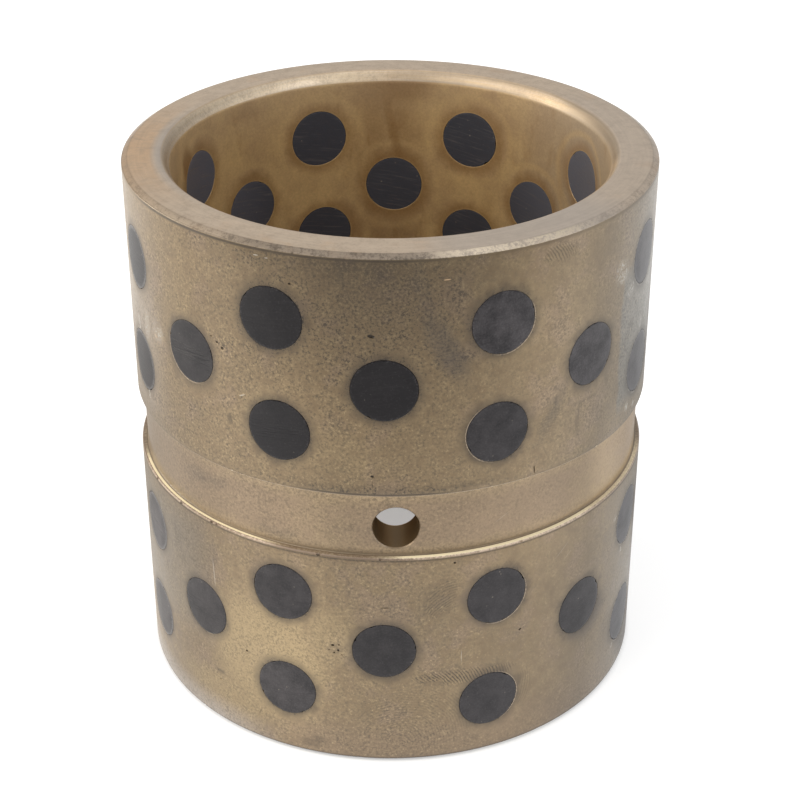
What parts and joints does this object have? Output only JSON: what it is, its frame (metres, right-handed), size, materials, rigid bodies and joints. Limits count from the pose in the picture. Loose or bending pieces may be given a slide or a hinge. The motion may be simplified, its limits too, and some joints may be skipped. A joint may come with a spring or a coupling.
{
  "type": "graphite plugged bushing",
  "caption": "Self-lubricating plain sleeve bearing: a cast bronze tube with flush solid graphite plugs in staggered rows, an outer oil groove and a radial oil hole.",
  "frame": {"origin": "centre of the lower end face, on the surface that the bushing stands on", "axes": "+Z along the bore axis, upwards from the standing end. -Y is the side that the oil hole opens to. +X follows from the right-hand rule."},
  "size_m": [0.085, 0.085, 0.09],
  "materials": {
    "bronze": "turned cast bronze, dulled and stained, with fine scratches and finger marks",
    "graphite": "matt charcoal graphite with faint turning lines"
  },
  "bodies": {
    "root": {"sleeve": "bronze", "plug_row_1_place_1": "graphite", "plug_row_1_place_2": "graphite", "plug_row_1_place_3": "graphite", "plug_row_1_place_4": "graphite", "plug_row_1_place_5": "graphite", "plug_row_1_place_6": "graphite", "plug_row_1_place_7": "graphite", "plug_row_1_place_8": "graphite", "plug_row_2_place_1": "graphite", "plug_row_2_place_2": "graphite", "plug_row_2_place_3": "graphite", "plug_row_2_place_4": "graphite", "plug_row_2_place_5": "graphite", "plug_row_2_place_6": "graphite", "plug_row_2_place_7": "graphite", "plug_row_2_place_8": "graphite", "plug_row_3_place_1": "graphite", "plug_row_3_place_2": "graphite", "plug_row_3_place_3": "graphite", "plug_row_3_place_4": "graphite", "plug_row_3_place_5": "graphite", "plug_row_3_place_6": "graphite", "plug_row_3_place_7": "graphite", "plug_row_3_place_8": "graphite", "plug_row_4_place_1": "graphite", "plug_row_4_place_2": "graphite", "plug_row_4_place_3": "graphite", "plug_row_4_place_4": "graphite", "plug_row_4_place_5": "graphite", "plug_row_4_place_6": "graphite", "plug_row_4_place_7": "graphite", "plug_row_4_place_8": "graphite", "plug_row_5_place_1": "graphite", "plug_row_5_place_2": "graphite", "plug_row_5_place_3": "graphite", "plug_row_5_place_4": "graphite", "plug_row_5_place_5": "graphite", "plug_row_5_place_6": "graphite", "plug_row_5_place_7": "graphite", "plug_row_5_place_8": "graphite", "plug_row_6_place_1": "graphite", "plug_row_6_place_2": "graphite", "plug_row_6_place_3": "graphite", "plug_row_6_place_4": "graphite", "plug_row_6_place_5": "graphite", "plug_row_6_place_6": "graphite", "plug_row_6_place_7": "graphite", "plug_row_6_place_8": "graphite"}
  },
  "joints": []
}
